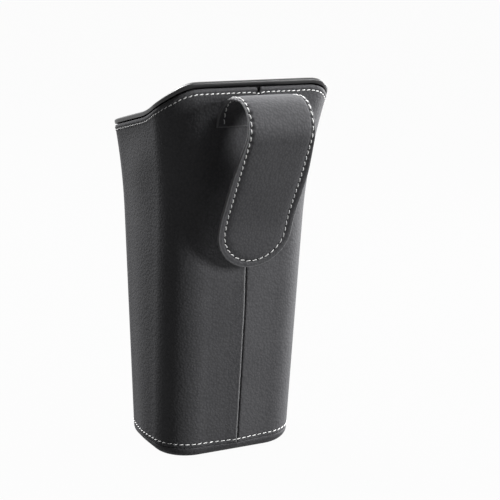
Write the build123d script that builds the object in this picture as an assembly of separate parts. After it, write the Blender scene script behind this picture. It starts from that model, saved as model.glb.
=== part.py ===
from build123d import *
import math
import os

# Sizes in millimetres. The base is centred on the origin and the strap is on the +Y side.

# Outside form of the leather wrap
back_height = 300.0
front_height = 256.0
base_width = 116.0
base_depth = 99.0
side_draft = 3.0
side_flare = 8.0
back_lean = 36.0
back_flare = 5.0
front_lean = 23.0
flare_start = 187.0
base_back_radius = 29.0
top_back_radius = 13.0
base_front_radius = 34.0
top_front_radius = 44.0
bottom_edge_radius = 8.0

# Rim line: it climbs gently along the sides, steeper to the back corners, and levels off past them
rim_steepening = 2.1
rim_turn_before_corner = 42.0
rim_turn_run = 12.0
rim_levelling_run = 28.0
rim_run_past_corner = 15.0

# Leather wrap, base panel and the seams that join them
leather = 2.0
base_seam_height = 9.0
seam_offset = -2.5
seam_groove_width = 1.2
seam_groove_depth = 0.8
hem_notch_width = 2.6
hem_notch_depth = 4.5

# Moulded bucket
bucket_clearance = 0.8
bucket_wall = 1.8

# Ring that presses the bag against the bucket
ring_flange = 3.9
ring_seat_clearance = 0.9
ring_proud = 0.3
ring_skirt_clearance = 1.0
ring_skirt = 1.6
ring_skirt_depth = 18.0
ring_crown = 1.8

# Strap: a sewn leaf on the back wall, a loop over the top and a hanging tongue
strap_width = 57.0
strap_thickness = 2.6
strap_clearance = 0.5
strap_leaf_bottom = 266.4
strap_leaf_length = 6.0
strap_inner_bend = 20.3
strap_top_run = 6.6
strap_outer_bend = 19.1
tongue_angle = 31.7
tongue_run = 65.0
tongue_bend = 81.0
tongue_bend_angle = 15.7
tip_run = 26.5
strap_edge_bevel = 0.6

# Fineness of the lofted walls
loft_step = 42.0
run_splits = (1, 4, 4, 4, 2)
crown_steps = 4
quarter_steps = 4
seam_points = 6


def rise(z):
    return z / back_height


def flare(z):
    return (max(0.0, z - flare_start) / (back_height - flare_start)) ** 2


def half_width(z):
    return base_width / 2 + side_draft * rise(z) + side_flare * flare(z)


def back_reach(z):
    return base_depth / 2 + back_lean * rise(z) + back_flare * flare(z)


def front_reach(z):
    return base_depth / 2 + front_lean * rise(z)


def back_radius(z):
    return base_back_radius + (top_back_radius - base_back_radius) * flare(z)


def front_radius(z):
    return base_front_radius + (top_front_radius - base_front_radius) * rise(z)


def half_outline_runs(z):
    """Lengths of the straight and round runs from the middle of the front to that of the back."""
    return [
        half_width(z) - front_radius(z),
        front_radius(z) * math.pi / 2,
        front_reach(z) - front_radius(z) + back_reach(z) - back_radius(z),
        back_radius(z) * math.pi / 2,
        half_width(z) - back_radius(z),
    ]


# Travel along the outline is measured on its section halfway up the rim
runs = half_outline_runs((front_height + back_height) / 2)
half_travel = sum(runs)
rim_turn = sum(runs[:3]) - rim_turn_before_corner
rim_top = sum(runs[:4]) + rim_run_past_corner

# Travels at which the rim's slope changes, with the slope there in slopes of the side
rim_slopes = [
    (0.0, 0.0),
    (sum(runs[:2]), 1.0),
    (rim_turn, 1.0),
    (rim_turn + rim_turn_run, rim_steepening),
    (rim_top - rim_levelling_run, rim_steepening),
    (rim_top, 0.0),
    (half_travel, 0.0),
]


def climbed(travel):
    """Climb of the rim up to a travel, as the area under its slopes."""
    area = 0.0
    for (start, slope), (end, end_slope) in zip(rim_slopes, rim_slopes[1:]):
        done = min(max(0.0, travel - start), end - start)
        area += done * (slope + (end_slope - slope) * done / (end - start) / 2)
    return area


def rim_height(travel):
    """Height of the ring's top."""
    return front_height + (back_height - front_height) * climbed(travel) / climbed(half_travel)


def level(z):
    return lambda travel: z


def rim(up):
    return lambda travel: rim_height(travel) + up


def half_outline(run, share, z):
    """Point of one run of half the outline at height z, with the wall's outward direction."""
    half, back, front = half_width(z), back_reach(z), front_reach(z)
    back_r, front_r = back_radius(z), front_radius(z)
    turn = share * math.pi / 2
    if run == 0:
        return share * (half - front_r), -front, 0.0, -1.0
    if run == 1:
        out_x, out_y = math.sin(turn), -math.cos(turn)
        return half - front_r + front_r * out_x, front_r - front + front_r * out_y, out_x, out_y
    if run == 2:
        return half, (1 - share) * (front_r - front) + share * (back - back_r), 1.0, 0.0
    if run == 3:
        out_x, out_y = math.cos(turn), math.sin(turn)
        return half - back_r + back_r * out_x, back - back_r + back_r * out_y, out_x, out_y
    return (1 - share) * (half - back_r), back, 0.0, 1.0


def wall_point(travel, inset, height):
    """Point of the right half of the wall, moved in by inset, after a travel from the middle of the front."""
    z = height(travel)
    run = 0
    while run < len(runs) - 1 and travel > runs[run]:
        travel -= runs[run]
        run += 1
    x, y, out_x, out_y = half_outline(run, travel / runs[run], z)
    return Vector(x - inset * out_x, y - inset * out_y, z)


def stations():
    """Travels of the points that half a wall line passes through."""
    travels = []
    for run, split in enumerate(run_splits):
        travels += [sum(runs[:run]) + runs[run] * step / split for step in range(split)]
    return travels + [half_travel]


def wall_line(inset, height):
    """Closed line round the wall at an inset, at a level or along the rim, as two mirrored halves."""
    reach = runs[3] / 100
    points = []
    tangents = []
    for travel in stations():
        points.append(wall_point(travel, inset, height))
        ahead = wall_point(min(travel + reach, half_travel), inset, height)
        tangents.append(ahead - wall_point(max(travel - reach, 0.0), inset, height))
    right = Spline(*points, tangents=tangents)
    left = mirror(right, Plane.YZ)
    return Wire([right.edge(), left.edge()])


def lofted(corners):
    """Faces through the wall lines at these corners of a section."""
    return Shell.make_loft([wall_line(*corner) for corner in corners], ruled=len(corners) == 2).faces()


def straight(low, high):
    """Corners from one to another, in equal steps where the wall between them is tall."""
    (low_inset, low_height), (high_inset, high_height) = low, high
    steps = max(1, round(abs(high_height(half_travel) - low_height(half_travel)) / loft_step))

    def height(share):
        return lambda travel: (1 - share) * low_height(travel) + share * high_height(travel)

    shares = [step / steps for step in range(steps + 1)]
    return [((1 - share) * low_inset + share * high_inset, height(share)) for share in shares]


def crown(outer, inner, shoulder, tall):
    """Corners of a half ellipse over the top of a wall, from its outer to its inner shoulder."""
    middle = (outer + inner) / 2
    angles = [math.pi * step / crown_steps for step in range(crown_steps + 1)]
    reach = (inner - outer) / 2
    return [(middle - reach * math.cos(angle), rim(shoulder + tall * math.sin(angle))) for angle in angles]


def quarter(wall_inset, floor, radius):
    """Corners of a quarter round from a wall to a floor."""
    angles = [math.pi / 2 * step / quarter_steps for step in range(quarter_steps + 1)]
    return [
        (wall_inset + radius * (1 - math.cos(angle)), level(floor + radius * (1 - math.sin(angle))))
        for angle in angles
    ]


def bowled(outside, edges, inside):
    """Solid with rounded bottom edges: quarter rounds outside and inside, joined over the edges of its wall."""
    faces = [Face(wall_line(*outside[-1])), Face(wall_line(*inside[-1]))]
    faces += lofted(outside) + lofted(inside)
    corners = [outside[0], *edges, inside[0]]
    return walled(corners, faces)


def walled(corners, closing):
    """Solid whose wall section has these corners, with the faces that close it."""
    faces = list(closing)
    for low, high in zip(corners, corners[1:]):
        faces += lofted(straight(low, high))
    return Solid(Shell(faces))


hem_level = -ring_flange - ring_seat_clearance
bucket_outer = leather + bucket_clearance
bucket_inner = bucket_outer + bucket_wall
skirt_outer = bucket_inner + ring_skirt_clearance
skirt_inner = skirt_outer + ring_skirt


def make_leather_sleeve():
    seam = level(base_seam_height)
    hem = rim(hem_level)
    section = [(leather, hem), (leather, seam), (0.0, seam), (0.0, hem)]
    sleeve = walled(section, lofted([section[-1], section[0]]))
    return sleeve - make_seam_groove() - make_hem_notch()


def make_seam_groove():
    """Shallow cut down the middle of the back, where the wrap's two ends meet."""
    top = back_height
    heights = [top * step / seam_points for step in range(seam_points + 1)]
    with BuildSketch(Plane.YZ) as section:
        with BuildLine():
            face = Spline(*[(back_reach(z) - seam_groove_depth, z) for z in heights])
            outside = back_reach(top) + seam_groove_depth
            Polyline(face @ 0, (outside, 0.0), (outside, top), face @ 1)
        make_face()
    return Pos(seam_offset, 0, 0) * extrude(section.sketch, amount=seam_groove_width / 2, both=True)


def make_hem_notch():
    """Small gap in the hem at the top of the seam."""
    deep = 2 * leather
    tall = hem_notch_depth + leather
    notch = Box(hem_notch_width, 2 * deep, tall, align=(Align.CENTER, Align.CENTER, Align.MIN))
    bottom = back_height + hem_level - hem_notch_depth
    return Pos(seam_offset, back_reach(bottom), bottom) * notch


def make_base_cover():
    seam = level(base_seam_height)
    outside = quarter(0.0, 0.0, bottom_edge_radius)
    inside = quarter(leather, leather, bottom_edge_radius - leather)
    return bowled(outside, [(0.0, seam), (leather, seam)], inside)


def make_inner_bucket():
    edge = rim(hem_level)
    radius = bottom_edge_radius - leather
    outside = quarter(bucket_outer, leather, radius)
    inside = quarter(bucket_inner, leather + bucket_wall, radius - bucket_wall)
    return bowled(outside, [(bucket_outer, edge), (bucket_inner, edge)], inside)


def make_bag_ring():
    under = rim(-ring_flange)
    shoulder = rim(-ring_crown)
    skirt_end = rim(-ring_flange - ring_skirt_depth)
    skirt = [(skirt_inner, shoulder), (skirt_inner, skirt_end), (skirt_outer, skirt_end), (skirt_outer, under)]
    flange = [(-ring_proud, under), (-ring_proud, shoulder)]
    return walled(skirt + flange + crown(-ring_proud, skirt_inner, -ring_crown, ring_crown)[1:], [])


def make_hanging_strap():
    half_thick = strap_thickness / 2
    half_wide = strap_width / 2
    leaf_top = strap_leaf_bottom + strap_leaf_length
    lean = math.degrees(math.atan2(back_reach(leaf_top) - back_reach(strap_leaf_bottom), strap_leaf_length))
    start = (back_reach(strap_leaf_bottom) + strap_clearance + half_thick, strap_leaf_bottom)
    with BuildSketch(Plane.YZ) as section:
        with BuildLine():
            leaf = PolarLine(start, strap_leaf_length, 90 - lean)
            inner = JernArc(leaf @ 1, leaf % 1, strap_inner_bend, lean - 90)
            top = PolarLine(inner @ 1, strap_top_run, 0)
            outer = JernArc(top @ 1, top % 1, strap_outer_bend, -90 - tongue_angle)
            tongue = PolarLine(outer @ 1, tongue_run, direction=outer % 1)
            settle = JernArc(tongue @ 1, tongue % 1, tongue_bend, tongue_bend_angle)
            tip = PolarLine(settle @ 1, tip_run, direction=settle % 1)
        trace(line_width=strap_thickness)
    strap = extrude(section.sketch, amount=half_wide, both=True)
    end = Plane.YZ.from_local_coords(tip @ 1)
    along = Plane.YZ.from_local_coords(tip % 1)
    with BuildSketch(Plane(end, x_dir=(1, 0, 0), z_dir=Vector(1, 0, 0).cross(along))) as corners:
        Rectangle(2 * strap_width, half_wide, align=(Align.CENTER, Align.MAX))
        with Locations((0, -half_wide)):
            Circle(half_wide, mode=Mode.SUBTRACT)
    strap -= extrude(corners.sketch, amount=strap_outer_bend, both=True)
    return chamfer(strap.edges().filter_by(lambda edge: edge.length > 2 * strap_thickness), strap_edge_bevel)


pieces = {
    "leather_sleeve": make_leather_sleeve,
    "base_cover": make_base_cover,
    "inner_bucket": make_inner_bucket,
    "bag_ring": make_bag_ring,
    "hanging_strap": make_hanging_strap,
}

if __name__ == "__main__":
    os.makedirs("parts", exist_ok=True)
    for name, make in pieces.items():
        export_step(make(), f"parts/{name}.step")
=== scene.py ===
"""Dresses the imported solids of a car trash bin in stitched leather, black plastic and off-white thread."""

import math

import bmesh
import bpy
from bpy.props import FloatProperty, FloatVectorProperty, PointerProperty
from mathutils import Matrix, Vector


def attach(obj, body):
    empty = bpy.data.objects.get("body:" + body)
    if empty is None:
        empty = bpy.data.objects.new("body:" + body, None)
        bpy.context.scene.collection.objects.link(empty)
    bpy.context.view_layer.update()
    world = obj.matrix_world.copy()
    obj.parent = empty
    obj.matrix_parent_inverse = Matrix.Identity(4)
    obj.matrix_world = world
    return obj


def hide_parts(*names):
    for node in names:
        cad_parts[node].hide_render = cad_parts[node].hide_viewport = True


bl_info = {
    "name": "Car trash bin",
    "version": (1, 0, 0),
    "blender": (4, 5, 0),
    "location": "View3D > Sidebar > Trash Bin",
    "description": "Builds the looks of a leather car trash bin round its packed solids",
    "category": "Object",
}

MM = 0.001
MERGE_DISTANCE = 0.002 * MM

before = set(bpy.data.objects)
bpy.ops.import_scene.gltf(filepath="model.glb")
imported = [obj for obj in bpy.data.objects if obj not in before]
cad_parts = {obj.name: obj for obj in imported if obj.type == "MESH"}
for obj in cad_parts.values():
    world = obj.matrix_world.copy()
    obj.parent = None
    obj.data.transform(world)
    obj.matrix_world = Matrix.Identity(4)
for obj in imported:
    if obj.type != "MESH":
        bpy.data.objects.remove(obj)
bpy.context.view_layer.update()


def property_maker(kind, scale=None, **traits):
    """Function that makes properties of a kind, whose defaults may be given in another unit."""
    def make(name, value, description):
        default = value if scale is None else value * scale
        return kind(name=name, description=description, default=default, **traits)
    return make


# Lengths are given in millimetres, angles in degrees, powers in watts and colours in linear light
length = property_maker(FloatProperty, MM, unit="LENGTH", precision=5)
angle = property_maker(FloatProperty, math.radians(1), unit="ROTATION")
number = property_maker(FloatProperty)
share = property_maker(FloatProperty, min=0.0, max=1.0, subtype="FACTOR")
power = property_maker(FloatProperty, unit="POWER")
colour = property_maker(FloatVectorProperty, size=3, min=0.0, max=1.0, subtype="COLOR")
place = property_maker(FloatVectorProperty, size=3, subtype="TRANSLATION")


class WallSizes(bpy.types.PropertyGroup):
    """Sizes of the tapered wall that wrap, bucket and ring follow."""

    back_height: length("Back height", 300, "Height of the ring's top at the back")
    front_height: length("Front height", 256, "Height of the ring's top at the front")
    base_width: length("Base width", 116, "Width of the wall at the floor")
    base_depth: length("Base depth", 99, "Depth of the wall at the floor")
    side_draft: length("Side draft", 3.6, "How far each side leans out up to the top")
    side_flare: length("Side flare", 12.8, "How far each side flares out as well near the top")
    back_lean: length("Back lean", 36, "How far the back leans out up to the top")
    back_flare: length("Back flare", 5, "How far the back flares out as well near the top")
    front_lean: length("Front lean", 23, "How far the front leans out up to the top")
    flare_start: length("Flare start", 187, "Height at which the flare starts")
    base_back_radius: length("Back corner at the base", 29, "Radius of the back corners at the base")
    top_back_radius: length("Back corner at the top", 26, "Radius of the back corners at the top")
    base_front_radius: length("Front corner at the base", 34, "Radius of the front corners at the base")
    top_front_radius: length("Front corner at the top", 50, "Radius of the front corners at the top")
    bottom_radius: length("Bottom edge", 8, "Rounding of the bottom edge")
    rim_steepening: number("Rim steepening", 2.77,
                           "Slope of the rim before the back corners, in slopes of its sides")
    rim_turn_before_corner: length("Rim turn", 27.5, "How far before the back corners the rim turns steeper")
    rim_turn_run: length("Rim turn run", 40, "Distance over which it turns steeper")
    rim_levelling_run: length("Rim levelling", 19.6, "Distance over which it turns level")
    rim_past_corner: length("Rim past corner", 3.3, "How far past the back corners it still climbs")


class WrapSizes(bpy.types.PropertyGroup):
    """Sizes of the leather wrap and its base."""

    thickness: length("Leather", 2, "Thickness of the wrap")
    hem_below_rim: length("Hem below rim", 5.0, "How far the hem lies below the ring's top")
    hem_swell: length("Hem swell", 0.3, "How far the folded hem swells above its stitches")
    base_seam: length("Base seam", 9, "Height at which the wrap meets its base")
    seam_foot: length("Seam foot", -1.0, "Place of the seam across the back, at the floor")
    seam_top: length("Seam top", -2.5, "Place of the seam across the back, at the top")
    seam_rise: length("Seam rise", 0.7, "How far the lapping end stands up at the seam")
    seam_fade: length("Seam fade", 3.5, "Distance over which the lapping end settles")
    seam_edge: length("Seam edge", 1.7, "Rounding of the lapping end")
    seam_groove: length("Seam groove", 1.6, "Depth of the groove beside the lapping end")
    seam_roll: length("Seam roll", 1.0, "Distance over which the other end rolls into the groove")
    ridge: length("Back ridge", 3.0, "How far the back stands out along the seam")
    side_bow: length("Side bow", 2.4, "How far the sides bow out between their corners")
    ridge_top: length("Ridge top", 175, "Height at which the ridge has run out below the strap")
    ridge_fade: length("Ridge fade", 60, "Distance over which the ridge runs out")
    bow_below_hem: length("Bow below hem", 5, "How far below the hem the bow has run out")
    bow_fade: length("Bow fade", 35, "Distance over which the bow runs out")
    notch_depth: length("Notch depth", 4.3, "Depth of the gap in the hem over the seam")
    notch_half: length("Notch half width", 1.0, "Half the width of the gap in the hem")
    notch_ear: length("Notch ear", 2.2, "Rounding of the lapping end beside the gap")


class RingSizes(bpy.types.PropertyGroup):
    """Sizes of the bucket and of the ring on its rim."""

    bucket_gap: length("Bucket gap", 0.8, "Room between wrap and bucket")
    bucket_wall: length("Bucket wall", 1.8, "Wall of the bucket")
    flange: length("Ring flange", 3.9, "Height of the ring's flange")
    proud: length("Ring proud", -0.2, "How far the ring stands out past the wrap, negative if behind")
    crown: length("Ring crown", 1.8, "Height of the ring's round top")
    skirt_gap: length("Skirt gap", 1.0, "Room between bucket and skirt")
    skirt: length("Skirt", 1.6, "Thickness of the skirt")
    skirt_depth: length("Skirt depth", 18, "How far the skirt reaches down into the bucket")


class StrapSizes(bpy.types.PropertyGroup):
    """Sizes of the looped strap, along its middle."""

    width: length("Strap width", 61.0, "Width of the tongue and of the sewn leaf")
    loop_width: length("Loop width", 52.0, "Width of the strap on its loop")
    thickness: length("Strap thickness", 2.6, "Thickness of the strap")
    swell: length("Strap swell", 0.5, "How far the strap swells between its stitches")
    edge: length("Strap edge", 0.6, "Reach of the rounding at the strap's edge")
    groove: length("Strap groove", 1.0, "Depth of the groove in which the outer stitches lie")
    groove_half: length("Groove half width", 3.0, "Half the width of that groove")
    scallop: share("Scallops", 0.6, "How much the groove's depth varies from stitch to stitch on the loop")
    gap: length("Strap gap", 0.5, "Room between the sewn leaf and the wrap")
    leaf_bottom: length("Leaf bottom", 266.4, "Height of the sewn leaf's lower edge")
    leaf: length("Leaf", 6.0, "Straight stretch of the sewn leaf")
    inner_bend: length("Inner bend", 20.3, "Radius of the bend away from the wall")
    top: length("Top", 6.6, "Straight stretch on top of the loop")
    outer_bend: length("Outer bend", 19.1, "Radius of the bend down into the tongue")
    tongue_angle: angle("Tongue angle", 31.7, "Angle by which the tongue comes back to the wall")
    tongue: length("Tongue", 65, "Straight stretch of the tongue")
    settle_bend: length("Settle bend", 81, "Radius of the bend along the wall")
    settle_angle: angle("Settle angle", 15.7, "Angle of the bend along the wall")
    tip: length("Tip", 26.5, "Last stretch, up to the round tip")
    tongue_shift: length("Tongue shift", -0.4, "How far the tongue hangs to the side of the middle")
    loop_shift: length("Loop shift", 0.8, "How far the loop sits to the side of the middle")
    cut_edge: length("Cut edge", 0.9, "Reach of the lighter cut edge of the strap")
    stitch_draw: length("Stitch draw", 0.9, "How far the strap's stitches are drawn in on the loop")
    stitch_start: length("Stitch start", 12, "Where the outer stitches start, past the sewn leaf")
    # The needle holes are painted shade: near-black colour over this reach
    hole: length("Needle hole", 0.7, "Reach of the dark needle holes between the outer stitches")


class StitchSizes(bpy.types.PropertyGroup):
    """Sizes of the stitches."""

    rim_pitch: length("Rim pitch", 4.2, "Distance from one stitch to the next along the rim")
    base_pitch: length("Base pitch", 4.9, "Distance from one stitch to the next along the base")
    strap_pitch: length("Strap pitch", 5.2, "Distance from one stitch to the next along the strap")
    dash: share("Dash", 0.78, "Share of the pitch at which thread shows")
    thread: length("Thread", 0.75, "Thickness of the thread")
    below_hem: length("Below hem", 3.9, "Distance of the rim's stitches from the hem")
    above_base: length("Above base", 11.9, "Height of the stitches over the base")
    strap_margin: length("Strap margin", 5.4, "Distance of the strap's stitches from the tongue's edge")
    bow: length("Bow", 0.3, "Sideways bow of each stitch on the strap")
    pull: length("Pull", 0.15, "How far the thread pulls the leather in")
    slant: angle("Slant", 9, "Slant of each stitch against its line")


class Finishes(bpy.types.PropertyGroup):
    """Colours of the finishes."""

    leather_dark: colour("Leather in the grain", (0.0445, 0.0445, 0.047),
                         "Colour between the pebbles of the grain")
    leather_light: colour("Leather", (0.085, 0.085, 0.0892), "Colour on top of the pebbles")
    # Painted highlight along the seam's lapping end, and the lighter colour of the strap's cut edge
    leather_worn: colour("Worn leather", (0.2, 0.2, 0.205), "Colour of worn edges at the seam and the strap")
    # Painted shade: near-black colour in the seam's groove and in the strap's needle holes, where shade falls
    seam_groove: colour("Seam groove", (0.006, 0.006, 0.006), "Colour in the seam's groove and needle holes")
    ring: colour("Ring", (0.008, 0.008, 0.0085), "Colour of the ring's plastic")
    bucket: colour("Bucket", (0.022, 0.022, 0.023), "Colour of the bucket's plastic")
    thread: colour("Thread", (0.95, 0.95, 0.94), "Colour of the thread")
    floor: colour("Floor", (0.07, 0.07, 0.07), "Colour of the floor's bounce light")


class StageSettings(bpy.types.PropertyGroup):
    """Camera and lights."""

    camera: place("Camera", (0.40816, 0.91977, 0.37501), "Place of the camera")
    aim: place("Aim", (-0.42696, -0.87890, -0.21269), "Direction in which the camera looks")
    lens: FloatProperty(name="Lens", description="Focal length", default=91.19, unit="CAMERA")
    left_light: power("Left light", 135.0, "Power of the soft light on the left")
    right_light: power("Right light", 17.0, "Power of the soft light on the right")
    top_light: power("Top light", 16.5, "Power of the soft light above")
    edge_light: power("Edge light", 42.0, "Power of the light along the right edge")
    room: share("Room light", 0.034, "Strength of the light from all round")
    glow: share("Floor glow", 0.97, "How white the floor is to the camera")


class TrashBin(bpy.types.PropertyGroup):
    """All settings of the trash bin."""

    wall: PointerProperty(type=WallSizes)
    wrap: PointerProperty(type=WrapSizes)
    ring: PointerProperty(type=RingSizes)
    strap: PointerProperty(type=StrapSizes)
    stitch: PointerProperty(type=StitchSizes)
    finish: PointerProperty(type=Finishes)
    stage: PointerProperty(type=StageSettings)


# How sharply the wrap's ridge rises to the seam
RIDGE_SHARPNESS = 1.2


class Wall:
    """The bin's wall: its outline at every height, and the climbing line of its rim.

    With the sizes of the wrap, its back has the wrap's shallow ridge along the seam, and its sides bow out.
    """

    def __init__(self, size, wrap=None):
        self.size = size
        self.wrap = wrap
        self.runs = self.lengths((size.front_height + size.back_height) / 2)
        self.half = sum(self.runs)
        turn = sum(self.runs[:3]) - size.rim_turn_before_corner
        top = sum(self.runs[:4]) + size.rim_past_corner
        self.slopes = [
            (0.0, 0.0),
            (sum(self.runs[:2]), 1.0),
            (turn, 1.0),
            (turn + size.rim_turn_run, size.rim_steepening),
            (top - size.rim_levelling_run, size.rim_steepening),
            (top, 0.0),
            (self.half, 0.0),
        ]
        self.whole_climb = self.climbed(self.half)

    def grown(self, z, base, lean=0.0, flare=0.0):
        """Length that leans out with the height, and flares out as well near the top."""
        size = self.size
        flared = max(0.0, z - size.flare_start) / (size.back_height - size.flare_start)
        return base + lean * z / size.back_height + flare * flared**2

    def half_width(self, z):
        size = self.size
        return self.grown(z, size.base_width / 2, lean=size.side_draft, flare=size.side_flare)

    def back(self, z):
        size = self.size
        return self.grown(z, size.base_depth / 2, lean=size.back_lean, flare=size.back_flare)

    def front(self, z):
        return self.grown(z, self.size.base_depth / 2, lean=self.size.front_lean)

    def back_radius(self, z):
        base = self.size.base_back_radius
        return self.grown(z, base, flare=self.size.top_back_radius - base)

    def front_radius(self, z):
        base = self.size.base_front_radius
        return self.grown(z, base, lean=self.size.top_front_radius - base)

    def lengths(self, z):
        """Straight and round runs of half the outline, from the middle of the front to that of the back."""
        back_radius, front_radius = self.back_radius(z), self.front_radius(z)
        return [
            self.half_width(z) - front_radius,
            front_radius * math.pi / 2,
            self.front(z) - front_radius + self.back(z) - back_radius,
            back_radius * math.pi / 2,
            self.half_width(z) - back_radius,
        ]

    def climbed(self, travel):
        """Climb of the rim up to a travel, as the area under its slopes."""
        area = 0.0
        for (start, slope), (end, end_slope) in zip(self.slopes, self.slopes[1:]):
            done = min(max(0.0, travel - start), end - start)
            area += done * (slope + (end_slope - slope) * done / (end - start) / 2)
        return area

    def rim(self, travel):
        """Height of the ring's top: gentle along the sides, steeper to the back corners, level past them."""
        size = self.size
        climb = self.climbed(abs(travel)) / self.whole_climb
        return size.front_height + (size.back_height - size.front_height) * climb

    def seam(self, wrap, z):
        """Place of the wrap's seam across the back."""
        return wrap.seam_foot + (wrap.seam_top - wrap.seam_foot) * z / self.size.back_height

    def back_travel(self, x, z):
        """Travel of the point of the back's flat stretch that lies at x."""
        travel = self.half - abs(x) * self.runs[4] / (self.half_width(z) - self.back_radius(z))
        return math.copysign(travel, x)

    def ridge(self, travel, z):
        """How far the wrap stands out, most along the seam and in the middle of its sides."""
        wrap = self.wrap
        seam = self.seam(wrap, z) * self.runs[4] / (self.half_width(z) - self.back_radius(z))
        beside = math.copysign(self.half - abs(travel), travel)
        away = min(1.0, abs(beside - seam) / (self.runs[4] - abs(seam)))
        middle = sum(self.runs[:2]) + self.runs[2] / 2
        reach = (self.runs[2] + self.runs[3]) / 2
        aside = min(1.0, abs(abs(travel) - middle) / reach)
        ridge = wrap.ridge * (1 - away) ** RIDGE_SHARPNESS
        ridge *= smooth_step((wrap.ridge_top - z) / wrap.ridge_fade)
        hem = self.rim(travel) - wrap.hem_below_rim
        bow = wrap.side_bow * math.cos(aside * math.pi / 2) ** 2
        bow *= smooth_step((hem - wrap.bow_below_hem - z) / wrap.bow_fade)
        return (ridge + bow) * smooth_step(z / wrap.base_seam)

    def point(self, travel, z, out=0.0):
        """Point of the wall at a travel from the front's middle, negative on the left, moved outwards."""
        left = abs(travel)
        if self.wrap:
            out += self.ridge(travel, z)
        run = 0
        while run < 4 and left > self.runs[run]:
            left -= self.runs[run]
            run += 1
        part = left / self.runs[run]
        turn = part * math.pi / 2
        wide, back, front = self.half_width(z), self.back(z), self.front(z)
        back_radius, front_radius = self.back_radius(z), self.front_radius(z)
        if run == 0:
            x, y, across, along = part * (wide - front_radius), -front, 0.0, -1.0
        elif run == 1:
            across, along = math.sin(turn), -math.cos(turn)
            x, y = wide - front_radius * (1 - across), front_radius * (1 + along) - front
        elif run == 2:
            x, across, along = wide, 1.0, 0.0
            y = (1 - part) * (front_radius - front) + part * (back - back_radius)
        elif run == 3:
            across, along = math.cos(turn), math.sin(turn)
            x, y = wide - back_radius * (1 - across), back - back_radius * (1 - along)
        else:
            x, y, across, along = (1 - part) * (wide - back_radius), back, 0.0, 1.0
        return Vector((math.copysign(1.0, travel) * (x + out * across), y + out * along, z))


class Bend:
    """Line of straight and round stretches in the upright plane through the strap's middle."""

    def __init__(self, start, heading, stretches):
        self.parts = []
        y, z = start
        self.length = 0.0
        for reach, turn in stretches:
            self.parts.append((self.length, y, z, heading, reach, turn))
            y, z = self.step(y, z, heading, reach, turn)
            heading += turn
            self.length += reach

    @staticmethod
    def step(y, z, heading, reach, turn):
        if turn == 0.0:
            return y + reach * math.cos(heading), z + reach * math.sin(heading)
        radius = reach / turn
        end = heading + turn
        y += radius * (math.sin(end) - math.sin(heading))
        return y, z - radius * (math.cos(end) - math.cos(heading))

    def at(self, along):
        """Point and heading after a length along the line."""
        part = [p for p in self.parts if p[0] <= along][-1] if along > 0 else self.parts[0]
        begun, y, z, heading, reach, turn = part
        done = along - begun
        turned = turn * done / reach
        y, z = self.step(y, z, heading, done, turned)
        return y, z, heading + turned


def settings():
    return bpy.context.scene.trash_bin


def smooth_step(value):
    value = min(max(value, 0.0), 1.0)
    return value * value * (3 - 2 * value)


def spread(low, high, steps):
    """Evenly spaced numbers from low to high, both included."""
    return [low + (high - low) * step / steps for step in range(steps + 1)]


def loft(rows, closed=False):
    """Skin through rows of as many points each: a loop is extruded from row to row.

    The last row is joined to the first if the skin is closed, and both are filled if not. Every vertex is
    marked with its row and its column.
    """
    bm = bmesh.new()
    for mark_name in ("column", "row"):
        bm.verts.layers.int.new(mark_name)
    column, line = bm.verts.layers.int["column"], bm.verts.layers.int["row"]
    loop = bmesh.ops.create_circle(bm, segments=len(rows[0]))["verts"]
    for index, vert in enumerate(loop):
        vert[column] = index
        vert.co = rows[0][index]
    first = edges = bm.edges[:]
    for index, row in enumerate(rows[1:], 1):
        made = bmesh.ops.extrude_edge_only(bm, edges=edges)["geom"]
        verts = {item for item in made if isinstance(item, bmesh.types.BMVert)}
        for vert in verts:
            vert.co = row[vert[column]]
            vert[line] = index
        made_edges = (item for item in made if isinstance(item, bmesh.types.BMEdge))
        edges = [edge for edge in made_edges if verts.issuperset(edge.verts)]
    if closed:
        bmesh.ops.bridge_loops(bm, edges=first + edges)
    else:
        for end in (first, edges):
            bmesh.ops.edgeloop_fill(bm, edges=end)
    return bm


def mark(bm, name, law):
    """Attribute of a lofted skin's vertices, by a law of their row and column."""
    layer = bm.verts.layers.float.new(name)
    row, column = bm.verts.layers.int["row"], bm.verts.layers.int["column"]
    for vert in bm.verts:
        vert[layer] = law(vert[row], vert[column])


def new_mesh(name, bm):
    """Mesh of a finished bmesh, with smooth faces."""
    for face in bm.faces:
        face.smooth = True
    mesh = bpy.data.meshes.new(name)
    bm.to_mesh(mesh)
    bm.free()
    return mesh


def add_object(name, data):
    """Object of a mesh, a light or a camera, in the scene."""
    added = bpy.data.objects.new(name, data)
    bpy.context.scene.collection.objects.link(added)
    return added


def finish_mesh(name, bm, material, body, node=None):
    """Piece of a finished bmesh that rides on a body and the CAD node that it stands for."""
    bmesh.ops.remove_doubles(bm, verts=bm.verts, dist=MERGE_DISTANCE)
    bmesh.ops.recalc_face_normals(bm, faces=bm.faces)
    mesh = new_mesh(name, bm)
    mesh.materials.append(material)
    piece = add_object(name, mesh)
    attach(piece, body)
    if node:
        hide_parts(node)


class Value:
    """Shader value that takes part in Python arithmetic by adding Math nodes."""

    def __init__(self, shader, socket):
        self.shader = shader
        self.socket = socket

    def math(self, operation, first, second):
        node = self.shader.node("ShaderNodeMath", {0: first, 1: second}, operation=operation)
        return Value(self.shader, node.outputs[0])

    def __add__(self, other):
        return self.math("ADD", self, other)

    __radd__ = __add__

    def __mul__(self, other):
        return self.math("MULTIPLY", self, other)

    __rmul__ = __mul__

    def __sub__(self, other):
        return self.math("SUBTRACT", self, other)

    def __rsub__(self, other):
        return self.math("SUBTRACT", other, self)


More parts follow.
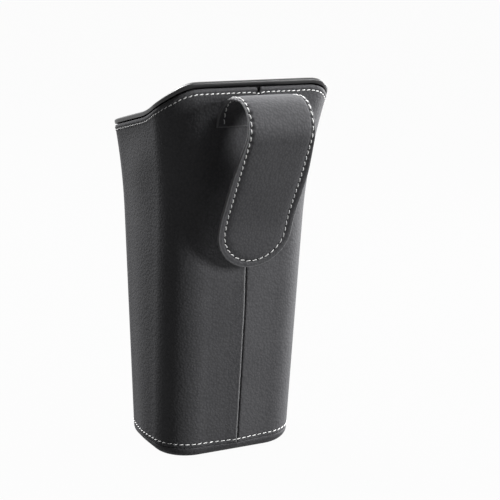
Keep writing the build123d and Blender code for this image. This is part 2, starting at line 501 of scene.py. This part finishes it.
class Nodes:
    """Node tree of a material or a world, to which nodes are added one by one."""

    def __init__(self, owner, output):
        owner.use_nodes = True
        self.owner = owner
        self.tree = owner.node_tree
        self.tree.nodes.clear()
        self.end = self.node(output, {})

    def node(self, kind, sockets, **options):
        """Node of a kind, with its settings first and then the values or links of its sockets."""
        node = self.tree.nodes.new(kind)
        for option, value in options.items():
            setattr(node, option, value)
        for name, value in sockets.items():
            value = value.socket if isinstance(value, Value) else value
            if isinstance(value, bpy.types.NodeSocket):
                self.tree.links.new(value, node.inputs[name])
            else:
                node.inputs[name].default_value = value
        return node

    def close(self, node):
        """Ends the tree with a node and gives its material or world."""
        self.tree.links.new(node.outputs[0], self.end.inputs["Surface"])
        return self.owner

    def blend(self, factor, first, second):
        """Mix of two shader nodes."""
        return self.node("ShaderNodeMixShader", {0: factor, 1: first.outputs[0], 2: second.outputs[0]})

    def seen(self):
        """One for the rays that see the white background, directly, in a reflection or through glass."""
        rays = self.node("ShaderNodeLightPath", {})
        camera, glossy, through = (Value(self, rays.outputs[f"Is {ray} Ray"])
                                   for ray in ("Camera", "Glossy", "Transmission"))
        return camera + glossy + through


class Shader(Nodes):
    """Material whose nodes are added one by one."""

    def __init__(self, name):
        super().__init__(bpy.data.materials.new(name), "ShaderNodeOutputMaterial")

    def value(self, kind, output, sockets, **options):
        return Value(self, self.node(kind, sockets, **options).outputs[output])

    def place(self):
        return self.node("ShaderNodeTexCoord", {}).outputs["Object"]

    def attribute(self, name):
        return self.value("ShaderNodeAttribute", "Fac", {}, attribute_name=name)

    def noise(self, scale, detail=2.0, roughness=0.5):
        sockets = {"Vector": self.place(), "Scale": scale, "Detail": detail, "Roughness": roughness}
        return self.value("ShaderNodeTexNoise", "Fac", sockets)

    def mix(self, factor, low, high):
        """Colour between two, each given in numbers or by a socket."""
        low, high = (part if isinstance(part, bpy.types.NodeSocket) else (*part, 1.0) for part in (low, high))
        return self.node("ShaderNodeMix", {0: factor, 6: low, 7: high}, data_type="RGBA").outputs[2]

    def bump(self, height, strength, distance):
        sockets = {"Height": height, "Strength": strength, "Distance": distance}
        return self.node("ShaderNodeBump", sockets).outputs["Normal"]

    def surface(self, **sockets):
        named = {name.replace("_", " "): value for name, value in sockets.items()}
        return self.close(self.node("ShaderNodeBsdfPrincipled", named))


def leather_finish(name):
    """Charcoal leather with a fine pebble grain, a painted highlight along the seam's lapping end, a lighter
    cut edge on the strap, and painted shade in the seam's groove and the strap's needle holes.
    """
    colours = settings().finish
    shader = Shader(name)
    pebbles = shader.value("ShaderNodeTexVoronoi", "Distance",
                           {"Vector": shader.place(), "Scale": 520.0, "Randomness": 0.9, "Smoothness": 0.5},
                           feature="SMOOTH_F1")
    creases = shader.noise(scale=280.0, detail=3.0, roughness=0.6)
    patches = shader.noise(scale=28.0, detail=3.0)
    # worn marks the painted highlight along the seam's lapping end and the strap's lighter cut edge; groove
    # marks the painted shade in the seam's groove and needle holes
    worn, groove = shader.attribute("worn"), shader.attribute("groove")
    tops = 1.0 - pebbles * 1.1
    height = tops * 0.7 + creases * 0.5
    look = tops * 0.55 + patches * 0.5
    grain = shader.mix(look, colours.leather_dark, colours.leather_light)
    # Painted highlight along the seam's lapping end, lighter colour on the strap's cut edge
    tint = shader.mix(worn * 0.85, grain, colours.leather_worn)
    return shader.surface(
        # Painted shade in the seam's groove and the needle holes
        Base_Color=shader.mix(groove, tint, colours.seam_groove),
        Roughness=0.62 + 0.14 * creases,
        Specular_IOR_Level=0.10,
        Normal=shader.bump(height, strength=0.6, distance=0.5 * MM),
    )


def plastic_finish(name, base, roughness, grain, specular):
    """Moulded plastic with a faint sparked texture."""
    shader = Shader(name)
    sparks = shader.noise(scale=1500.0)
    patches = shader.noise(scale=40.0)
    light = tuple(min(1.0, part * 1.35) for part in base)
    return shader.surface(
        Base_Color=shader.mix(patches, base, light),
        Roughness=roughness + 0.08 * patches,
        Specular_IOR_Level=specular,
        Normal=shader.bump(sparks, strength=grain, distance=0.08 * MM),
    )


def thread_finish(name):
    """Off-white twisted thread."""
    shader = Shader(name)
    base = settings().finish.thread
    fibres = shader.noise(scale=2600.0)
    worn = tuple(part * 0.75 for part in base)
    return shader.surface(
        Base_Color=shader.mix(fibres, worn, base),
        Roughness=0.7 + 0.1 * fibres,
        Sheen_Weight=1.0,
        Sheen_Roughness=0.35,
        Normal=shader.bump(fibres, strength=0.4, distance=0.1 * MM),
    )


def finish(name, maker, **values):
    """Material by name, made on first use."""
    return bpy.data.materials.get(name) or maker(name, **values)


def leather():
    return finish("charcoal_leather", leather_finish)


# Even columns on each run of half the wall, the share of the back's run that has them, the columns beside the
# seam in millimetres, and the distance given to columns far from it
RUN_COLUMNS = (6, 22, 30, 20, 8)
EVEN_BACK = 0.75
SEAM_COLUMNS = (8, 5, 3.4, 2.4, 1.9, 1.45, 1.2, 0.95, 0.7, 0.5, 0.3, 0.15, 0.02,
                -0.02, -0.4, -0.8, -1.2, -1.6, -2.2, -3, -4)
FAR_FROM_SEAM = 1.0


def wall_columns(wall, wrap):
    """Places round the wall, each a travel that may depend on the height, with its distance from the seam."""
    travels = []
    for run, count in enumerate(RUN_COLUMNS):
        reach = wall.runs[run] * (EVEN_BACK if run == 4 else 1.0)
        travels += [sum(wall.runs[:run]) + reach * step / count for step in range(count)]
    travels.append(sum(wall.runs[:4]) + EVEN_BACK * wall.runs[4])

    def fixed(travel):
        return lambda z: travel

    def seam(distance):
        return lambda z: wall.back_travel(wall.seam(wrap, z) + distance, z)

    return (
        [(fixed(travel), FAR_FROM_SEAM) for travel in travels]
        + [(seam(distance * MM), distance * MM) for distance in SEAM_COLUMNS]
        + [(fixed(-travel), FAR_FROM_SEAM) for travel in travels[:0:-1]]
    )


def wall_row(wall, columns, height, out):
    """Row of wall points: height and out are laws of the travel and of the distance from the seam."""
    row = []
    for column, beside in columns:
        travel = column(wall.size.back_height)
        z = height(travel, beside)
        row.append(wall.point(column(z), z, out(travel, beside)))
    return row


def level(z):
    return lambda travel, beside: z


def along_rim(wall, up):
    return lambda travel, beside: wall.rim(travel) + up


def mixed(low, high, part):
    """Height law between a level and a line along the rim."""
    return lambda travel, beside: (1 - part) * low + part * high(travel, beside)


def steady(out):
    return lambda travel, beside: out


def bottom_round(radius, steps, low=0.0, inset=0.0):
    """Heights and insets of a round bottom edge, from its upper end down."""
    return [(low + radius * (1 - math.sin(turn)), inset + radius * (1 - math.cos(turn)))
            for turn in spread(0, math.pi / 2, steps)]


# Rows of the wrap below its hem and above the floor, and rise and inset of its lower edge, in millimetres
HEM_ROWS = (1.6, 2.3, 3.0, 3.6, 4.1, 4.4, 4.6, 4.8, 5.1, 5.6, 6.3, 7.2, 8.5, 10.2)
FOOT_ROWS = (14.0, 13.0, 12.3, 11.8, 11.5, 11.2, 10.8, 10.2, 9.6)
FOOT_EDGE = ((0.15, 0.12), (0.0, 0.4))
# Where the wrap's plain part starts below the hem and ends above the foot's stitches, and the hem's inner end
HEM_SETTLED = 12 * MM
FOOT_SETTLED = 4 * MM
HEM_INSIDE = 8 * MM
# Rounding of the gap in the hem, the drop at which it has closed, and the reach of a stitch's pull
NOTCH_EDGE = 0.45 * MM
NOTCH_CLOSED = 7 * MM
PULL_REACH = 0.7 * MM
# Marks along the seam, a painted highlight on the lapping end (worn) and painted shade in the groove
# (groove): their places in halves of the lapping end's rounding, and how fast they fade
SEAM_HIGHLIGHT_AND_SHADE = {"worn": (1.0, 3.0), "groove": (-0.5, 4.0)}


class TRASHBIN_OT_wrap(bpy.types.Operator):
    """Leather wrap with its folded hem, back seam and hem notch"""

    bl_idname = "trash_bin.wrap"
    bl_label = "Leather wrap"

    def execute(self, context):
        bin_ = settings()
        wrap, stitch = bin_.wrap, bin_.stitch
        wall = Wall(bin_.wall, wrap)
        columns = wall_columns(wall, wrap)

        def notch(beside):
            depth = wrap.notch_depth * smooth_step((wrap.notch_half + NOTCH_EDGE - abs(beside)) / NOTCH_EDGE)
            inside = 1 - (beside - wrap.notch_half) / wrap.notch_ear
            ear = wrap.notch_ear * (1 - math.sqrt(1 - inside**2)) if 0 < inside < 1 else 0.0
            return max(depth, ear)

        def hem(drop):
            line = along_rim(wall, -wrap.hem_below_rim - drop)
            open_share = max(0.0, 1 - drop / NOTCH_CLOSED)
            return lambda travel, beside: line(travel, beside) - notch(beside) * open_share

        def seamed(out):
            def law(travel, beside):
                if beside < 0:
                    return out - wrap.seam_groove * math.exp(-((beside / wrap.seam_roll) ** 2))
                short = max(0.0, 1 - beside / wrap.seam_edge)
                edge = wrap.seam_edge * (1 - math.sqrt(1 - short**2))
                return out + wrap.seam_rise * math.exp(-beside / wrap.seam_fade) - edge
            return law

        def pulled(distance, swell):
            return swell - stitch.pull * math.exp(-(distance / PULL_REACH) ** 2)

        rows = []
        fold = wrap.thickness / 2
        for turn in spread(0, math.pi, steps=8):
            rows.append((hem(fold - fold * math.sin(turn)), steady(-fold - fold * math.cos(turn))))
        for drop in HEM_ROWS:
            drop *= MM
            swell = wrap.hem_swell * math.sin(math.pi * min(1.0, drop / stitch.below_hem))
            rows.append((hem(drop), seamed(pulled(drop - stitch.below_hem, swell))))
        foot = stitch.above_base + FOOT_SETTLED
        below_hem = along_rim(wall, -wrap.hem_below_rim - HEM_SETTLED)
        for part in spread(1, 0, steps=36):
            rows.append((mixed(foot, below_hem, part), seamed(0.0)))
        for z in FOOT_ROWS:
            z *= MM
            rows.append((level(z), seamed(pulled(z - stitch.above_base, 0.0))))
        for rise, inset in FOOT_EDGE:
            rows.append((level(wrap.base_seam + rise * MM), steady(-inset * MM)))
        inside_hem = along_rim(wall, -wrap.hem_below_rim - HEM_INSIDE)
        for part in spread(0, 1, steps=10):
            rows.append((mixed(wrap.base_seam, inside_hem, part), steady(-wrap.thickness)))
        bm = loft([wall_row(wall, columns, *row) for row in rows], closed=True)
        # Painted highlight on the seam's lapping end and painted shade in the groove beside it
        for name, (spot, fade) in SEAM_HIGHLIGHT_AND_SHADE.items():
            self.mark_seam(bm, name, columns, wrap.seam_edge / 2, spot, fade)
        finish_mesh("leather_wrap", bm, leather(), "bin", "leather_sleeve")
        return {"FINISHED"}

    def mark_seam(self, bm, name, columns, reach, spot, fade):
        """Mark along the seam that fades to both sides of a spot beside it."""
        mark(bm, name, lambda row, column: math.exp(-fade * (columns[column][1] / reach - spot) ** 2))


# Gap between base and wrap, heights of the tray's floor and its corner, and drop of its lip's inner edge
BASE_GAP = 0.1 * MM
TRAY_FLOOR = 2.5 * MM
TRAY_CORNER = 6 * MM
LIP_INSIDE = 0.2 * MM
# Drop and inset of the lip's rows, and insets on the tray's floor and on the sole, in millimetres
LIP_ROWS = ((0.0, 1.4), (0.0, 0.7), (0.25, 0.2))
TRAY_INSETS = (30, 10)
SOLE_INSETS = (14, 24)


class TRASHBIN_OT_base(bpy.types.Operator):
    """Leather base with its rounded bottom edge"""

    bl_idname = "trash_bin.base"
    bl_label = "Leather base"

    def execute(self, context):
        bin_ = settings()
        wrap = bin_.wrap
        wall = Wall(bin_.wall, wrap)
        columns = wall_columns(wall, wrap)
        top = wrap.base_seam - BASE_GAP
        rows = [(TRAY_FLOOR, inset * MM) for inset in TRAY_INSETS]
        rows += [(TRAY_CORNER, wrap.thickness), (top - LIP_INSIDE, wrap.thickness)]
        rows += [(top - drop * MM, inset * MM) for drop, inset in LIP_ROWS]
        rows += bottom_round(bin_.wall.bottom_radius, steps=10)
        rows += [(0.0, inset * MM) for inset in SOLE_INSETS]
        bm = loft([wall_row(wall, columns, level(z), steady(-inset)) for z, inset in rows])
        finish_mesh("leather_base", bm, leather(), "bin", "base_cover")
        return {"FINISHED"}


# Inset of the rows on the bucket's flat bottom, and the drop and inset of its rounded edge
BUCKET_FLAT = 6 * MM
BUCKET_EDGE_DROP = 0.5 * MM
BUCKET_EDGE = 0.4 * MM


class TRASHBIN_OT_bucket(bpy.types.Operator):
    """Plastic bucket inside the wrap"""

    bl_idname = "trash_bin.bucket"
    bl_label = "Bucket"

    def execute(self, context):
        bin_ = settings()
        wall = Wall(bin_.wall)
        wrap, ring = bin_.wrap, bin_.ring
        columns = wall_columns(wall, wrap)
        outer = wrap.thickness + ring.bucket_gap
        inner = outer + ring.bucket_wall
        round_out = bin_.wall.bottom_radius - wrap.thickness
        round_in = round_out - ring.bucket_wall
        floor = wrap.thickness + ring.bucket_wall
        edge = along_rim(wall, -wrap.hem_below_rim)
        low = wrap.thickness + round_out
        high = along_rim(wall, -wrap.hem_below_rim - BUCKET_EDGE_DROP)
        sole = [(wrap.thickness, outer + round_out + BUCKET_FLAT)]
        sole += reversed(bottom_round(round_out, low=wrap.thickness, inset=outer, steps=6))
        bottom = bottom_round(round_in, low=floor, inset=inner, steps=6)
        bottom.append((floor, inner + round_in + BUCKET_FLAT))
        rows = [(level(z), inset) for z, inset in sole]
        rows += [(mixed(low, high, part), outer) for part in spread(0, 1, steps=14)[1:]]
        rows += [(edge, outer + BUCKET_EDGE), (edge, inner - BUCKET_EDGE)]
        rows += [(mixed(low, high, part), inner) for part in spread(1, 0, steps=14)[:-1]]
        rows += [(level(z), inset) for z, inset in bottom]
        bm = loft([wall_row(wall, columns, height, steady(-inset)) for height, inset in rows])
        plastic = finish("matt_bucket", plastic_finish, base=bin_.finish.bucket,
                         roughness=0.5, grain=0.35, specular=0.28)
        finish_mesh("inner_bucket_skin", bm, plastic, "bin", "inner_bucket")
        return {"FINISHED"}


# Rounding of the ring's edges and its ease at the corner, and rows on its side and on its skirt
RING_EDGE = 0.4 * MM
RING_EDGE_EASE = 0.3
RING_SIDE_ROW = 1.3 * MM
SKIRT_ROW = -9 * MM


class TRASHBIN_OT_ring(bpy.types.Operator):
    """Black ring on the rim, with its skirt inside the bucket"""

    bl_idname = "trash_bin.ring"
    bl_label = "Bag ring"

    def execute(self, context):
        bin_ = settings()
        wall = Wall(bin_.wall)
        ring = bin_.ring
        columns = wall_columns(wall, bin_.wrap)
        skirt_outer = bin_.wrap.thickness + ring.bucket_gap + ring.bucket_wall + ring.skirt_gap
        skirt_inner = skirt_outer + ring.skirt
        under, shoulder = -ring.flange, -ring.crown
        end = -ring.flange - ring.skirt_depth
        face, soft = -ring.proud, RING_EDGE
        ease = soft * RING_EDGE_EASE
        rows = [(under, skirt_outer), (under, face + soft), (under + ease, face + ease),
                (under + soft, face), (under + RING_SIDE_ROW, face)]
        middle, reach = (skirt_inner - ring.proud) / 2, (skirt_inner + ring.proud) / 2
        for turn in spread(0, math.pi, steps=16):
            rows.append((shoulder + ring.crown * math.sin(turn), middle - reach * math.cos(turn)))
        rows += [(under, skirt_inner), (SKIRT_ROW, skirt_inner), (end + soft, skirt_inner),
                 (end, skirt_inner - soft), (end, skirt_outer + soft),
                 (end + soft, skirt_outer), (SKIRT_ROW, skirt_outer)]
        laws = [(along_rim(wall, up), steady(-inset)) for up, inset in rows]
        bm = loft([wall_row(wall, columns, *law) for law in laws], closed=True)
        plastic = finish("satin_ring", plastic_finish, base=bin_.finish.ring,
                         roughness=0.34, grain=0.12, specular=0.32)
        finish_mesh("bag_ring_skin", bm, plastic, "ring", "bag_ring")
        return {"FINISHED"}


# Distance over which the strap is drawn in, and start before the loop's end and distance of its letting out
DRAWN_IN = 30 * MM
LET_OUT_BEFORE = 22 * MM
LET_OUT = 62 * MM
# Reach of the inner stitches' pull, and of the swell's rise inside the outer ones
INNER_PULL_REACH = 0.8 * MM
SWELL_REACH = 7 * MM


class Strap:
    """The looped strap: its middle line, its width and its faces."""

    def __init__(self, bin_):
        self.size = size = bin_.strap
        self.stitch = bin_.stitch
        wall = Wall(bin_.wall)
        top = size.leaf_bottom + size.leaf
        lean = math.atan2(wall.back(top) - wall.back(size.leaf_bottom), size.leaf)
        start = (wall.back(size.leaf_bottom) + size.gap + size.thickness / 2, size.leaf_bottom)
        inner, outer = math.pi / 2 - lean, math.pi / 2 + size.tongue_angle
        self.loop_end = size.leaf + size.inner_bend * inner + size.top + size.outer_bend * outer
        self.line = Bend(start, inner, [
            (size.leaf, 0.0),
            (size.inner_bend * inner, -inner),
            (size.top, 0.0),
            (size.outer_bend * outer, -outer),
            (size.tongue, 0.0),
            (size.settle_bend * size.settle_angle, size.settle_angle),
            (size.tip, 0.0),
        ])
        self.tip_start = self.line.length - size.width / 2
        self.stitch_start = size.leaf + size.stitch_start
        self.pitch = self.even_pitch(self.stitch_start)

    def even_pitch(self, start):
        """Pitch that fits a whole number of stitches down one side, round the tip and up the other side."""
        run = 2 * (self.tip_start - start) + math.pi * self.stitch_half(self.tip_start)
        return run / round(run / self.stitch.strap_pitch)

    def stitch_half(self, along):
        """Distance of the stitches from the strap's middle."""
        return self.size.width / 2 - self.stitch.strap_margin - self.size.stitch_draw * self.narrowing(along)

    def beside_stitches(self, along, across):
        """How far inside the line of stitches a point lies, and a wave along it, 1 at a stitch's middle."""
        past = along - self.tip_start
        half = self.stitch_half(along)
        inside = half - (abs(across) if past <= 0 else math.hypot(across, past))
        run = along if past <= 0 else self.tip_start + half * math.atan2(past, across)
        return inside, -math.cos(2 * math.pi * (run - self.stitch_start) / self.pitch)

    def hole(self, along, across):
        """How much a point of the outer face lies in a needle hole, where the leather is painted in shade."""
        if along <= self.stitch_start:
            return 0.0
        inside, wave = self.beside_stitches(along, across)
        return math.exp(-(inside / self.size.hole) ** 2) * max(0.0, -wave) ** 2

    def narrowing(self, along):
        """How far the strap is drawn in: not at the leaf, fully on the loop, and not on the tongue."""
        drawn_in = smooth_step(along / DRAWN_IN)
        return drawn_in * (1 - smooth_step((along - self.loop_end + LET_OUT_BEFORE) / LET_OUT))

    def half_width(self, along):
        """Half the width, drawn in on the loop and rounded at the tip."""
        size = self.size
        half = (size.width - (size.width - size.loop_width) * self.narrowing(along)) / 2
        if along > self.tip_start:
            over = min(1.0, (along - self.tip_start) / (self.line.length - self.tip_start))
            return half * math.sqrt(max(0.0, 1 - over**2))
        return half

    def edge_distance(self, along, across):
        """Distance of a point of the strap from its nearest edge."""
        if along > self.tip_start:
            return self.size.width / 2 - math.hypot(across, along - self.tip_start)
        return self.half_width(along) - abs(across)

    def worn(self, along, across):
        """How much a point lies on the strap's cut edge, the leaf's end included, where the leather is
        coloured lighter.
        """
        return math.exp(-(min(along, self.edge_distance(along, across)) / self.size.cut_edge) ** 2)

    def height(self, along, across, outside):
        """Height of the strap's face over its middle."""
        size, stitch = self.size, self.stitch
        half = size.thickness / 2
        distance = min(max(self.edge_distance(along, across), 0.0), along)
        edge = half * math.sqrt(max(0.0, 1 - max(0.0, 1 - distance / size.edge) ** 2))
        inside, wave = self.beside_stitches(along, across)
        if not outside:
            return max(0.0, edge - stitch.pull * math.exp(-(inside / INNER_PULL_REACH) ** 2))
        depth = size.groove * (1 - size.scallop * self.narrowing(along) * wave)
        groove = depth * math.cos(math.pi / 2 * min(1.0, abs(inside) / size.groove_half)) ** 2
        return max(0.0, edge - groove) + size.swell * smooth_step(inside / SWELL_REACH)

    def point(self, along, across, outside, lift=0.0):
        """Point of one of the strap's faces."""
        y, z, heading = self.line.at(along)
        side = 1.0 if outside else -1.0
        rise = side * (self.height(along, across, outside) + lift)
        size = self.size
        x = across + size.tongue_shift + (size.loop_shift - size.tongue_shift) * self.narrowing(along)
        return Vector((x, y - rise * math.sin(heading), z + rise * math.cos(heading)))


# Rows of the strap at the leaf's end and its columns from the edge, in millimetres
LEAF_END_ROWS = (0.02, 0.15, 0.4)
STRAP_COLUMNS = (0.0, 0.06, 0.2, 0.45, 0.8, 1.3, 1.9, 2.5, 3.1, 3.7, 4.3, 4.9, 5.5, 6.2, 7.0, 8.5,
                 11, 14, 18, 22)
# Start of the strap's even rows, the step between them, and how far the last row stops short of the tip
EVEN_ROWS_START = 0.8 * MM
ROW_STEP = 0.6 * MM
SHORT_OF_TIP = 0.01 * MM


class TRASHBIN_OT_strap(bpy.types.Operator):
    """Leather strap, looped over and hanging as a tongue"""

    bl_idname = "trash_bin.strap"
    bl_label = "Hanging strap"

    def execute(self, context):
        strap = Strap(settings())
        stop, full = strap.tip_start, strap.size.width / 2
        tip_reach = strap.line.length - stop
        alongs = [row * MM for row in LEAF_END_ROWS] + spread(EVEN_ROWS_START, stop, round(stop / ROW_STEP))
        alongs += [stop + tip_reach * math.sin(turn) for turn in spread(0, math.pi / 2, steps=40)[1:-1]]
        alongs.append(strap.line.length - SHORT_OF_TIP)
        rows, holes, edges = [], [], []
        for along in alongs:
            half = strap.half_width(along)
            right = [half * (1 - distance * MM / full) for distance in STRAP_COLUMNS]
            across = right + [0.0] + [-x for x in reversed(right)]
            row = [strap.point(along, x, True) for x in across]
            row += [strap.point(along, x, False) for x in reversed(across[1:-1])]
            rows.append(row)
            # Painted shade in the needle holes
            holes.append([strap.hole(along, x) for x in across] + [0.0] * (len(row) - len(across)))
            # Lighter colour along the strap's cut edge
            worn = [strap.worn(along, x) for x in across]
            edges.append(worn + worn[-2:0:-1])
        bm = loft(rows)
        # groove carries the painted shade in the needle holes, worn the lighter cut edge
        mark(bm, "groove", lambda row, column: holes[row][column])
        mark(bm, "worn", lambda row, column: edges[row][column])
        finish_mesh("strap_leather", bm, leather(), "bin", "hanging_strap")
        return {"FINISHED"}


# Shape of a stitch in thread radii: how full and flat it is, how far it stands out and how deep its ends dive
STITCH_FULLNESS = 1.25
STITCH_FLATNESS = 0.8
STITCH_LIFT = 0.6
STITCH_DIVE = 0.9


def stitch_shape(stitch, pitch, bow):
    """Mesh of one stitch: a thread that dives into the leather at both ends and may bow to one side."""
    bm = bmesh.new()
    radius = stitch.thread / 2
    for vert in bmesh.ops.create_uvsphere(bm, u_segments=8, v_segments=6, radius=1.0)["verts"]:
        along = vert.co.z
        round_ = vert.co.xy.normalized() * min(1.0, STITCH_FULLNESS * vert.co.xy.length)
        vert.co = Vector((
            stitch.dash * pitch / 2 * along,
            radius * round_.x + bow * (0.5 - along**2),
            radius * (round_.y * STITCH_FLATNESS + STITCH_LIFT - STITCH_DIVE * along**4),
        ))
    return new_mesh("stitch", bm)


def sew(name, path, stitch, pitch, bow=0.0):
    """Stitches at an even pitch along a path of distances, points and the leather's outward directions."""
    bm = bmesh.new()
    shape = stitch_shape(stitch, pitch, bow)
    due = path[0][0] + pitch / 2
    for (before, start, out), (after, end, _) in zip(path, path[1:]):
        while before <= due < after:
            spot = start.lerp(end, (due - before) / (after - before))
            ahead = (end - start).normalized()
            up = (out - ahead * out.dot(ahead)).normalized()
            turn = Matrix.Rotation(stitch.slant, 3, up)
            ahead = turn @ ahead * (-1 if up.cross(ahead).x > 0 else 1)
            axes = Matrix((ahead, up.cross(ahead), up)).transposed().to_4x4()
            one = shape.copy()
            one.transform(Matrix.Translation(spot) @ axes)
            bm.from_mesh(one)
            bpy.data.meshes.remove(one)
            due += pitch
    bpy.data.meshes.remove(shape)
    finish_mesh(name, bm, finish("off_white_thread", thread_finish), "bin")


# Dip of the rim's stitches under the gap in the hem, its reach, and the start of the strap's inner stitches
NOTCH_DIP = 1.1 * MM
NOTCH_DIP_REACH = 3.5 * MM
INNER_STITCH_START = 2 * MM
# Steps of the paths along which the stitches are sewn
WALL_STEPS, STRAP_STEPS, TIP_STEPS = 1200, 300, 120


class TRASHBIN_OT_stitches(bpy.types.Operator):
    """Off-white stitches along the hem, the base and both faces of the strap"""

    bl_idname = "trash_bin.stitches"
    bl_label = "Stitches"

    def execute(self, context):
        bin_ = settings()
        stitch, wrap = bin_.stitch, bin_.wrap
        wall = Wall(bin_.wall, wrap)

        def wall_path(height):
            path, run, last = [], 0.0, None
            for travel in spread(-wall.half, wall.half, WALL_STEPS):
                z = height(travel)
                on = wall.point(travel, z, -stitch.pull)
                run += (on - last).length if last else 0.0
                path.append((run, on, wall.point(travel, z, 1.0) - wall.point(travel, z)))
                last = on
            return path

        def below_hem(travel):
            z = wall.rim(travel) - wrap.hem_below_rim - stitch.below_hem
            beside = wall.point(travel, z).x - wall.seam(wrap, z)
            near = abs(travel) > wall.half - wall.runs[4]
            return z - (NOTCH_DIP * math.exp(-(beside / NOTCH_DIP_REACH) ** 2) if near else 0.0)

        sew("rim_stitches", wall_path(below_hem), stitch, stitch.rim_pitch)
        sew("base_stitches", wall_path(lambda travel: stitch.above_base), stitch, stitch.base_pitch)
        strap = Strap(bin_)
        stop, half = strap.tip_start, strap.stitch_half(strap.tip_start)
        for name, outside, begin in (
            ("strap_outer_stitches", True, strap.stitch_start),
            ("strap_inner_stitches", False, INNER_STITCH_START),
        ):
            flat = [(along, along, strap.stitch_half(along)) for along in spread(begin, stop, STRAP_STEPS)]
            flat += [(stop + half * turn, stop + half * math.sin(turn), half * math.cos(turn))
                     for turn in spread(0, math.pi, TIP_STEPS)[1:-1]]
            flat += [(2 * stop + half * math.pi - along, along, -strap.stitch_half(along))
                     for along in spread(stop, begin, STRAP_STEPS)]
            path = []
            for run, along, across in flat:
                on = strap.point(along, across, outside)
                path.append((run, on, strap.point(along, across, outside, 1.0) - on))
            sew(name, path, stitch, strap.even_pitch(begin), stitch.bow)
        return {"FINISHED"}


# Place, width and height of each light in metres, and the point at which they are aimed
LIGHTS = {
    "left": ((0.48, -1.3, 1.75), 0.9, 0.9),
    "right": ((-0.79, 1.0, 0.45), 0.16, 0.45),
    "edge": ((-1.2, -0.25, 0.5), 0.3, 0.9),
    "top": ((-0.56, 0.5, 1.23), 0.45, 0.45),
}
LIT_POINT = Vector((0.0, 0.02, 0.15))
# Width of the camera's sensor in millimetres, and half the floor's width in metres
SENSOR_WIDTH = 36.0
FLOOR_REACH = 30.0
WHITE = (1.0, 1.0, 1.0, 1.0)


class TRASHBIN_OT_stage(bpy.types.Operator):
    """Pale floor, soft lights and the camera"""

    bl_idname = "trash_bin.stage"
    bl_label = "Stage"

    def execute(self, context):
        bin_ = settings()
        stage, scene = bin_.stage, context.scene
        scene.view_settings.view_transform = "Standard"
        self.make_floor(bin_)
        self.make_world(scene, stage)
        for side, (spot, wide, tall) in LIGHTS.items():
            light = bpy.data.lights.new(f"{side}_softbox", "AREA")
            light.shape = "RECTANGLE"
            light.size = wide
            light.size_y = tall
            light.energy = getattr(stage, f"{side}_light")
            self.aim(light, spot, LIT_POINT - Vector(spot))
        camera = bpy.data.cameras.new("photo_camera")
        camera.lens = stage.lens
        camera.sensor_width = SENSOR_WIDTH
        scene.camera = self.aim(camera, stage.camera, Vector(stage.aim))
        return {"FINISHED"}

    def aim(self, data, spot, direction):
        """Object of a light or a camera at a spot, turned to look in a direction."""
        added = add_object(data.name, data)
        added.location = spot
        added.rotation_euler = direction.to_track_quat("-Z", "Y").to_euler()
        return added

    def make_floor(self, bin_):
        bm = bmesh.new()
        bmesh.ops.create_grid(bm, x_segments=1, y_segments=1, size=FLOOR_REACH)
        mesh = new_mesh("floor", bm)
        shader = Shader("pale_floor")
        paint = shader.node("ShaderNodeBsdfDiffuse", {"Color": (*bin_.finish.floor, 1.0)})
        white = shader.node("ShaderNodeEmission", {"Color": WHITE, "Strength": 1.0})
        mesh.materials.append(shader.close(shader.blend(shader.seen() * bin_.stage.glow, paint, white)))
        floor = add_object("floor", mesh)

    def make_world(self, scene, stage):
        nodes = Nodes(bpy.data.worlds.new("studio"), "ShaderNodeOutputWorld")
        room, backdrop = (nodes.node("ShaderNodeBackground", {"Color": WHITE, "Strength": strength})
                          for strength in (stage.room, 1.0))
        scene.world = nodes.close(nodes.blend(nodes.seen(), room, backdrop))


class TRASHBIN_PT_panel(bpy.types.Panel):
    """Lists the pieces of the trash bin"""

    bl_idname = "TRASHBIN_PT_panel"
    bl_label = "Trash bin"
    bl_space_type = "VIEW_3D"
    bl_region_type = "UI"
    bl_category = "Trash Bin"

    def draw(self, context):
        for operator in OPERATORS:
            self.layout.operator(operator.bl_idname)


OPERATORS = (
    TRASHBIN_OT_wrap,
    TRASHBIN_OT_base,
    TRASHBIN_OT_bucket,
    TRASHBIN_OT_ring,
    TRASHBIN_OT_strap,
    TRASHBIN_OT_stitches,
    TRASHBIN_OT_stage,
)
GROUPS = (WallSizes, WrapSizes, RingSizes, StrapSizes, StitchSizes, Finishes, StageSettings, TrashBin)
CLASSES = (*GROUPS, *OPERATORS, TRASHBIN_PT_panel)


def register():
    for each in CLASSES:
        bpy.utils.register_class(each)
    bpy.types.Scene.trash_bin = PointerProperty(type=TrashBin)


def unregister():
    del bpy.types.Scene.trash_bin
    for each in reversed(CLASSES):
        bpy.utils.unregister_class(each)


def main():
    register()
    bpy.ops.trash_bin.wrap()
    bpy.ops.trash_bin.base()
    bpy.ops.trash_bin.bucket()
    bpy.ops.trash_bin.ring()
    bpy.ops.trash_bin.strap()
    bpy.ops.trash_bin.stitches()
    bpy.ops.trash_bin.stage()


if __name__ == "__main__":
    main()
